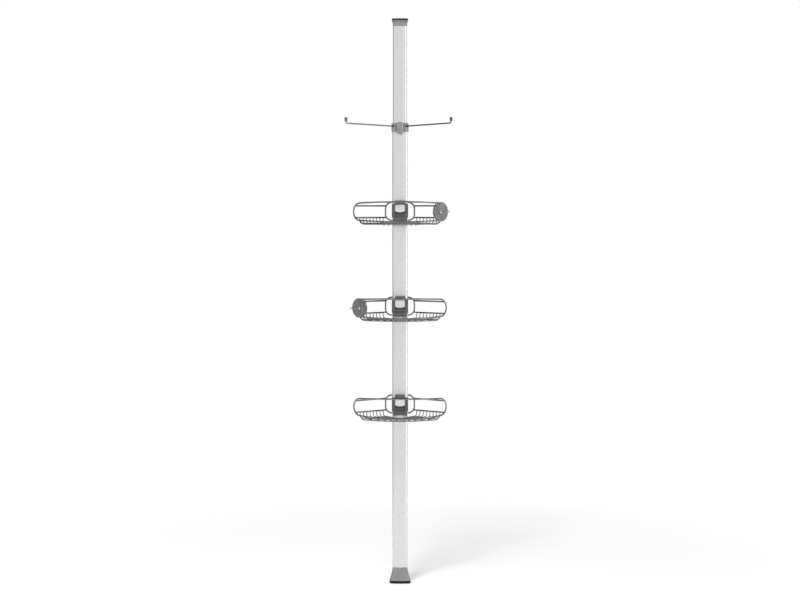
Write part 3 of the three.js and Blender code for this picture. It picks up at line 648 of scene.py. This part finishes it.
class Basket:
    """One basket's wires, in the frame's own place."""

    def __init__(self, name):
        self.name = name
        self.body = f"{name}_basket"
        low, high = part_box(f"{name}_basket_frame")
        self.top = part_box(f"{name}_clamp_body")[1].z - CLAMP_RISE
        self.loop_y = high.y - FRAME_WIRE
        self.centre_y = low.y + FRAME_WIRE * CAD_WIRE_FLAT + RING_RADIUS

    def bow(self, angle, z):
        """A point on the bowed front, at a height from the basket's top."""
        return Vector((
            RING_RADIUS * math.sin(angle), self.centre_y - RING_RADIUS * math.cos(angle), self.top + z))

    def end(self, side, angle):
        """A point on a half-round end; angle 90 degrees is its top."""
        start = self.bow(side * RING_HALF_ANGLE, 0)
        out = END_RADIUS * math.cos(angle)
        return Vector((
            start.x + side * out * math.cos(RING_HALF_ANGLE),
            start.y + out * math.sin(RING_HALF_ANGLE),
            self.top + RING_MIDDLE + END_RADIUS * math.sin(angle)))

    def ring(self):
        """The front's closed loop: an upper and a lower rail joined by half-round ends."""
        rail_steps, end_steps = 48, 22
        points = []
        for half in (1, -1):
            for i in range(rail_steps):
                angle = half * RING_HALF_ANGLE * (2 * i / rail_steps - 1)
                bend = (RING_RISE if half > 0 else -RING_DIP) * math.cos(2 * angle)
                points.append(self.bow(angle, RING_MIDDLE + half * END_RADIUS + bend))
            for i in range(end_steps):
                angle = half * (math.pi / 2 - math.pi * i / end_steps)
                points.append(self.end(half, angle))
        return points

    def loop(self):
        """The upright rounded rectangle behind the pole."""
        top = self.top - FRAME_WIRE
        bottom = self.top - LOOP_HEIGHT + FRAME_WIRE
        x, c = LOOP_HALF_WIDTH - LOOP_CORNER, LOOP_CORNER
        centres = ((x, top - c), (-x, top - c), (-x, bottom + c), (x, bottom + c))
        steps = 12
        points = []
        for quarter, (cx, cz) in enumerate(centres):
            for i in range(steps + 1):
                angle = math.pi / 2 * (quarter + i / steps)
                points.append(Vector((cx + c * math.cos(angle), self.loop_y, cz + c * math.sin(angle))))
        return points

    def rail_end(self, side, z):
        """Where a back rail at this height meets the half-round end."""
        return self.end(side, math.asin((z - RING_MIDDLE) / END_RADIUS))

    def build_frame(self):
        weld_radius = FRAME_WIRE * 1.12
        bm = bmesh.new()
        sweep(bm, self.ring(), FRAME_WIRE, 16, closed=True)
        sweep(bm, self.loop(), FRAME_WIRE, 16, closed=True)
        for side in (-1, 1):
            for z in BACK_RAILS:
                start = Vector((side * LOOP_HALF_WIDTH, self.loop_y, self.top + z))
                end = self.rail_end(side, z)
                sweep(bm, [start, end], FRAME_WIRE, 16)
                weld(bm, start, weld_radius)
                weld(bm, end, weld_radius)
        add_piece(f"{self.name}_frame_wire", mesh_from(bm, "frame"), "polished_steel", self.body,
                  [f"{self.name}_basket_frame"])

    def wire_reach(self, start, direction, has_dish):
        """How far a floor wire runs: to the front edge, the middle line or the dish's opening."""
        x, y = start.x, start.y - self.centre_y
        forward = x * direction.x + y * direction.y
        reach = -forward + math.sqrt(forward ** 2 - (x * x + y * y - RING_RADIUS ** 2))
        reach = min(reach, -start.x / direction.x)
        if has_dish:
            to_side = (math.copysign(DISH_OPENING_HALF, x) - start.x) / direction.x
            to_back = (DISH_OPENING_BACK - start.y) / direction.y
            reach = min(reach, max(to_side, to_back))
        return reach

    def edge_wire(self):
        """The floor's front wire, which turns up under the ring at both ends."""
        reach = RING_HALF_ANGLE * 0.98
        rising_reach = reach * 0.985
        level_share, rise_share = 0.9, 0.86
        end_z = RING_MIDDLE - END_RADIUS - FRAME_WIRE
        rise = (end_z - EDGE_LEVEL) * rise_share
        steps = 44
        points = [self.bow(-reach, end_z)]
        for i in range(steps + 1):
            t = 2 * i / steps - 1
            turned_up = max(0.0, (abs(t) - level_share) / (1 - level_share))
            points.append(self.bow(rising_reach * t, EDGE_LEVEL + rise * turned_up ** 2))
        points.append(self.bow(reach, end_z))
        return points

    def build_floor(self, has_dish):
        drop_out, drop_bend = 1.5 * MM, 12 * MM
        rail_weld, tip_weld = FLOOR_WIRE * 1.35, FLOOR_WIRE * 1.3
        bm = bmesh.new()
        sweep(bm, self.edge_wire(), EDGE_WIRE, 12)
        level = self.top + FLOOR_LEVEL
        rail_z = self.top + BACK_RAILS[1]
        for side in (-1, 1):
            start = Vector((side * LOOP_HALF_WIDTH, self.loop_y, rail_z))
            rail = self.rail_end(side, BACK_RAILS[1]) - start
            direction = Vector((side * rail.y, -side * rail.x, 0)).normalized()
            for i in range(FLOOR_WIRE_COUNT):
                x = side * (FLOOR_WIRE_FIRST + FLOOR_WIRE_PITCH * i)
                place = start + rail * ((x - start.x) / rail.x)
                reach = self.wire_reach(place, direction, has_dish)
                foot = Vector((place.x, place.y, level)) + direction * drop_out
                tip = Vector((place.x, place.y, level)) + direction * reach
                sweep(bm, filleted([place, foot, tip], drop_bend, 8), FLOOR_WIRE, 10)
                weld(bm, place - Vector((0, 0, FRAME_WIRE)), rail_weld)
                weld(bm, tip - Vector((0, 0, FLOOR_WIRE * 0.5)), tip_weld)
        if has_dish:
            self.dish_opening(bm, level)
        else:
            middle_wire = [Vector((0, MIDDLE_WIRE_BACK, level)), self.bow(0, FLOOR_LEVEL)]
            sweep(bm, middle_wire, FLOOR_WIRE, 10)
        add_piece(f"{self.name}_floor_wires", mesh_from(bm, "floor"), "polished_steel", self.body,
                  [f"{self.name}_basket_floor"])

    def dish_opening(self, bm, level):
        """The bent wire that borders the soap dish's opening."""
        angle = math.asin(DISH_OPENING_HALF / RING_RADIUS)
        bend = 4 * MM
        corners = [
            self.bow(-angle, FLOOR_LEVEL), (-DISH_OPENING_HALF, DISH_OPENING_BACK, level),
            (DISH_OPENING_HALF, DISH_OPENING_BACK, level), self.bow(angle, FLOOR_LEVEL)]
        sweep(bm, filleted(corners, bend, 6), FLOOR_WIRE, 10)


def build_soap_dish():
    """The lift-out dish: a rim of thicker wire, and thin wires hung across it."""
    low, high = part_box("soap_dish")
    rim_wire = 1.8 * MM
    rim_bend, hanging_bend = 14 * MM, 5 * MM
    rim_z, bottom_z = high.z - rim_wire, low.z + FLOOR_WIRE
    x, back, front = high.x - rim_wire, high.y - rim_wire, low.y + rim_wire
    bm = bmesh.new()
    rim = [
        (0, back, rim_z), (x, back, rim_z), (x, front, rim_z), (-x, front, rim_z), (-x, back, rim_z),
        (0, back, rim_z)]
    sweep(bm, filleted(rim, rim_bend, 10)[:-1], rim_wire, 12, closed=True)

    outermost = x - 11 * MM
    count = 8
    for i in range(count):
        place = outermost * (2 * i / (count - 1) - 1)
        hanging = [
            (place, back, rim_z), (place, back - 8 * MM, rim_z), (place, back - 13 * MM, bottom_z),
            (place, front + 11 * MM, bottom_z), (place, front, rim_z)]
        sweep(bm, filleted(hanging, hanging_bend, 6), FLOOR_WIRE, 10)
    add_piece("soap_dish_wires", mesh_from(bm, "dish"), "polished_steel", "soap_dish", ["soap_dish"])


def build_baskets():
    for name in SHELVES:
        basket = Basket(name)
        basket.build_frame()
        basket.build_floor(has_dish=name == "upper")
    build_soap_dish()


# ---- The clamps ----------------------------------------------------------------------

def plate_mesh(low, high, bulge, crown):
    """A thin sheet-metal cover: rounded corners, a curved lower edge and a crowned face."""
    half = (high.x - low.x) / 2
    corner = 2.2 * MM
    columns, rows = 24, 16
    bm = bmesh.new()
    fronts, backs = [], []
    for r in range(rows + 1):
        front_row, back_row = [], []
        for c in range(columns + 1):
            across = 2 * c / columns - 1
            bottom = low.z + bulge * across ** 2
            v = r / rows
            z = bottom + (high.z - bottom) * v
            inset = 0.0
            for edge in (high.z - z, z - bottom):
                if edge < corner:
                    inset = max(inset, corner - math.sqrt(max(corner ** 2 - (corner - edge) ** 2, 0)))
            x = across * (half - inset)
            lift = crown * (1 - across ** 2) * (1 - (2 * v - 1) ** 4)
            front_row.append(bm.verts.new((x, low.y + crown - lift, z)))
            back_row.append(bm.verts.new((x, high.y, z)))
        fronts.append(front_row)
        backs.append(back_row)
    for rows_of, flip in ((fronts, False), (backs, True)):
        for r in range(rows):
            for c in range(columns):
                loop = (rows_of[r][c], rows_of[r][c + 1], rows_of[r + 1][c + 1], rows_of[r + 1][c])
                bm.faces.new(loop[::-1] if flip else loop)
    border = (
        [(fronts[0][c], backs[0][c]) for c in range(columns + 1)]
        + [(fronts[r][columns], backs[r][columns]) for r in range(1, rows + 1)]
        + [(fronts[rows][c], backs[rows][c]) for c in reversed(range(columns))]
        + [(fronts[r][0], backs[r][0]) for r in reversed(range(1, rows))])
    for (a, b), (c, d) in zip(border, border[1:] + border[:1]):
        bm.faces.new((a, b, d, c))
    return mesh_from(bm, "plate")


def build_clamp(name):
    basket = f"{name}_basket"
    lever = f"{name}_lever"
    body_edge, lever_edge = 0.9 * MM, 0.6 * MM
    rounded_copy(f"{name}_clamp_body", f"{name}_clamp_moulding", "dark_plastic", basket, body_edge)
    rounded_copy(f"{name}_clamp_back", f"{name}_clamp_back_moulding", "dark_plastic", basket, body_edge)
    rounded_copy(f"{name}_clamp_lever", f"{name}_lever_moulding", "dark_plastic", lever, lever_edge)
    low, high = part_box(f"{name}_lever_plate")
    mesh = plate_mesh(low, high, bulge=3 * MM, crown=0.4 * MM)
    # The cover is polished steel in the lighter copy, whose colour is a painted highlight.
    add_piece(f"{name}_lever_cover", mesh, "polished_steel", lever, [f"{name}_lever_plate"],
              finish="polished_steel_painted_bright")


# ---- The hooks -----------------------------------------------------------------------

def build_hook(name, side):
    """A pressed cap over the half-round end, and the knobbed peg that stands out of it."""
    body = f"{name}_basket"
    cap_edge = 0.5 * MM
    rounded_copy(f"{name}_hook_disc", f"{name}_hook_cap", "brushed_steel", body, cap_edge)

    place = Basket(name).bow(side * RING_HALF_ANGLE, RING_MIDDLE)
    turn = Matrix.Rotation(side * RING_HALF_ANGLE, 4, "Z")
    face = Matrix.Translation(place) @ turn @ Matrix.Rotation(math.radians(90), 4, "X")
    sheet_front, sheet_back = 3.9 * MM, 2.7 * MM
    rivet_back, rivet_edge = sheet_back - 2 * MM, 0.4 * MM
    flange_front, flange_depth, flange_steps = sheet_front + 0.4 * MM, 6 * MM, 8
    tip = sheet_front + 42 * MM
    rod, flange, knob = 3.0 * MM, 6.0 * MM, 4.4 * MM
    knob_depth, knob_start, knob_steps = 3 * MM, math.radians(-50), 10
    profile = [
        (0, rivet_back), (flange - rivet_edge, rivet_back), (flange, rivet_back + rivet_edge),
        (flange, sheet_back), (rod, sheet_back), (rod, flange_front - 0.1 * MM),
        (flange - 0.3 * MM, flange_front - 0.1 * MM)]
    for i in range(flange_steps + 1):
        angle = math.pi / 2 * i / flange_steps
        profile.append((
            flange - (flange - rod) * math.sin(angle),
            flange_front + flange_depth * (1 - math.cos(angle))))
    profile += [(rod, tip - 6.5 * MM), (rod + 0.3 * MM, tip - 6 * MM)]
    for i in range(knob_steps):
        angle = knob_start + (math.pi / 2 - knob_start) * i / knob_steps
        profile.append((knob * math.cos(angle), tip - knob_depth * (1 - math.sin(angle))))
    profile.append((0, tip))
    bm = bmesh.new()
    lathe(bm, profile, 28, face)
    # The peg is polished steel in the lighter copy, whose colour is a painted highlight.
    add_piece(f"{name}_hook_rod", mesh_from(bm, "peg"), "polished_steel", body,
              [f"{name}_hook_peg"], finish="polished_steel_painted_bright")


# ---- What stays as the frame made it -------------------------------------------------

def dress_plain_nodes():
    """The inner, mostly hidden pieces keep their frame shapes and get their finishes."""
    slots = {part["node"]: part["material_slot"] for part in frame["record"]["subparts"]}
    for name, node in frame["nodes"].items():
        if not node.hide_render:
            dress(node.data, slots[name])


# ---- The studio ----------------------------------------------------------------------

def fading_floor():
    """Matt white in the middle, clear beyond, so the floor has no edge."""
    fade_start, fade_end = 0.6, 2.6
    n = Nodes("pale_floor")
    for name, value in (
            ("Base Color", (0.93, 0.93, 0.93, 1)), ("Roughness", 0.85), ("Specular IOR Level", 0.1),
            ("Emission Color", (1, 1, 1, 1)), ("Emission Strength", 0.17)):
        n.shader.inputs[name].default_value = value
    distance = n.add("ShaderNodeVectorMath", operation="LENGTH")
    fade = n.add("ShaderNodeMapRange", interpolation_type="SMOOTHSTEP")
    fade.inputs["From Min"].default_value = fade_start
    fade.inputs["From Max"].default_value = fade_end
    clear = n.add("ShaderNodeBsdfTransparent")
    mix = n.add("ShaderNodeMixShader")
    n.link(n.place, distance.inputs[0])
    n.link(distance.outputs["Value"], fade.inputs["Value"])
    n.link(fade.outputs["Result"], mix.inputs["Fac"])
    n.link(n.shader.outputs["BSDF"], mix.inputs[1])
    n.link(clear.outputs["BSDF"], mix.inputs[2])
    n.link(mix.outputs["Shader"], n.tree.nodes["Material Output"].inputs["Surface"])
    return n.material


def build_floor():
    """A pale floor that fades into the white surroundings."""
    size = 9.0
    bm = bmesh.new()
    bmesh.ops.create_circle(bm, cap_ends=True, segments=96, radius=size)
    mesh = mesh_from(bm, "floor")
    mesh.materials.append(fading_floor())
    floor = bpy.data.objects.new("floor", mesh)
    bpy.context.scene.collection.objects.link(floor)


def add_area(name, place, target, size, power):
    light = bpy.data.lights.new(name, "AREA")
    light.shape = "RECTANGLE"
    light.size, light.size_y = size
    light.energy = power
    lamp = bpy.data.objects.new(name, light)
    lamp.location = place
    lamp.rotation_euler = (Vector(target) - Vector(place)).to_track_quat("-Z", "Y").to_euler()
    lamp.visible_glossy = False
    bpy.context.scene.collection.objects.link(lamp)


def build_world():
    """White surroundings, and a studio of pale walls and dark corners in reflections."""
    world = bpy.data.worlds.new("studio")
    bpy.context.scene.world = world
    world.use_nodes = True
    nodes, links = world.node_tree.nodes, world.node_tree.links
    direction = nodes.new("ShaderNodeTexCoord").outputs["Generated"]
    split = nodes.new("ShaderNodeSeparateXYZ")
    links.new(direction, split.inputs["Vector"])
    across, away, up = split.outputs["X"], split.outputs["Y"], split.outputs["Z"]

    def maths(operation, a, b=None):
        node = nodes.new("ShaderNodeMath")
        node.operation = operation
        links.new(a, node.inputs[0])
        if b is not None:
            links.new(b, node.inputs[1])
        return node.outputs["Value"]

    def band(value, start, end, low, high):
        """Goes smoothly from low to high as the value goes from start to end."""
        node = nodes.new("ShaderNodeMapRange")
        node.interpolation_type = "SMOOTHSTEP"
        node.inputs["From Min"].default_value = start
        node.inputs["From Max"].default_value = end
        node.inputs["To Min"].default_value = low
        node.inputs["To Max"].default_value = high
        links.new(value, node.inputs["Value"])
        return node.outputs["Result"]

    def background(strength):
        node = nodes.new("ShaderNodeBackground")
        node.inputs["Color"].default_value = (1, 1, 1, 1)
        if isinstance(strength, float):
            node.inputs["Strength"].default_value = strength
        else:
            links.new(strength, node.inputs["Strength"])
        return node.outputs["Background"]

    def choose(ray, otherwise, chosen):
        node = nodes.new("ShaderNodeMixShader")
        links.new(ray, node.inputs["Fac"])
        links.new(otherwise, node.inputs[1])
        links.new(chosen, node.inputs[2])
        return node.outputs["Shader"]

    near_level = band(maths("ABSOLUTE", up), 0.42, 0.66, 1.0, 0.0)
    walls = band(away, -0.1, -0.55, 0.42, 0.94)
    strip = maths("MULTIPLY", band(across, 0.62, 0.74, 0.0, 1.5), band(across, 0.86, 0.95, 1.0, 0.0))
    ceiling = band(up, 0.8, 0.97, 0.06, 0.3)
    reflected = maths("MAXIMUM", maths("MULTIPLY", maths("ADD", walls, strip), near_level), ceiling)

    seen, ambient = 1.0, 0.5
    path = nodes.new("ShaderNodeLightPath").outputs
    lit = choose(path["Is Diffuse Ray"], background(seen), background(ambient))
    surroundings = choose(path["Is Glossy Ray"], lit, background(reflected))
    links.new(surroundings, nodes["World Output"].inputs["Surface"])


def build_camera(height):
    """A long lens at chest height, well back, tipped down to the middle of the pole."""
    distance, eye_height = 6.2, 1.34
    aim_share = 0.5051
    eye = Vector((0, -distance, eye_height))
    aim = Vector((0, 0, height * aim_share))
    camera = bpy.data.cameras.new("camera")
    camera.sensor_width = 36
    camera.lens = 78.8
    camera.clip_end = 60
    rig = bpy.data.objects.new("camera", camera)
    rig.location = eye
    rig.rotation_euler = (aim - eye).to_track_quat("-Z", "Y").to_euler()
    bpy.context.scene.collection.objects.link(rig)
    bpy.context.scene.camera = rig


def build_studio():
    build_camera(cad_high.z - cad_low.z)
    build_floor()
    build_world()
    middle = (0, 0, 1.0)
    add_area("key", place=(-1.0, -2.6, 4.3), target=middle, size=(1.2, 1.2), power=125)
    add_area("fill", place=(2.8, -3.0, 1.6), target=middle, size=(1.2, 2.4), power=12)
    bpy.context.scene.view_settings.view_transform = "Standard"


build_pole()
build_collar()
build_baskets()
for shelf in SHELVES:
    build_clamp(shelf)
build_hook("middle", -1)
build_hook("upper", 1)
dress_plain_nodes()
build_studio()
